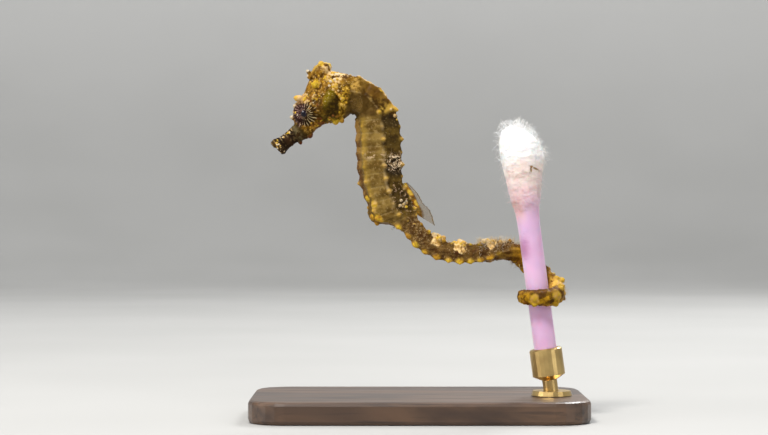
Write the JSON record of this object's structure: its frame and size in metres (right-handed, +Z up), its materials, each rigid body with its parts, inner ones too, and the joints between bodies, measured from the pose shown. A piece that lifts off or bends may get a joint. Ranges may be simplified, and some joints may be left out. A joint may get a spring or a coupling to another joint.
{
  "type": "seahorse",
  "caption": "Life-size young seahorse with a ringed, knobbly body that grips a cotton bud with its tail, held upright by a rod on a small flat display base.",
  "frame": {"origin": "middle of the stand's underside, on the surface it stands on", "axes": "+Z up; the head points to -X and the tail's grip is at +X; the animal's left side faces -Y"},
  "size_m": [0.036, 0.022, 0.0385],
  "materials": {
    "skin": "satin, ochre and dark brown mottle over bony rings",
    "crown": "satin horn, yellow-ochre with pale tips",
    "eye": "glossy, dark with pale spokes",
    "fin": "thin, slightly translucent, rayed",
    "stem": "smooth, pale pink-lilac",
    "cotton": "wound cotton with loose fibres",
    "base": "satin dark walnut",
    "rod": "satin"
  },
  "bodies": {
    "root": {"snout": "skin", "head": "skin", "neck": "skin", "trunk_chest": "skin", "trunk_belly": "skin", "tail_root": "skin", "tail_middle": "skin", "tail_bend": "skin", "tail_behind_stem": "skin", "tail_right_of_stem": "skin", "tail_before_stem": "skin", "tail_left_of_stem": "skin", "tail_tip": "skin", "coronet": "crown", "eye_left": "eye", "eye_right": "eye", "dorsal_fin": "fin", "anal_fin": "fin", "pectoral_fin_left": "fin", "pectoral_fin_right": "fin", "perch_stem": "stem", "perch_cotton": "cotton", "stand_base": "base", "stand_rod": "rod"}
  },
  "joints": []
}
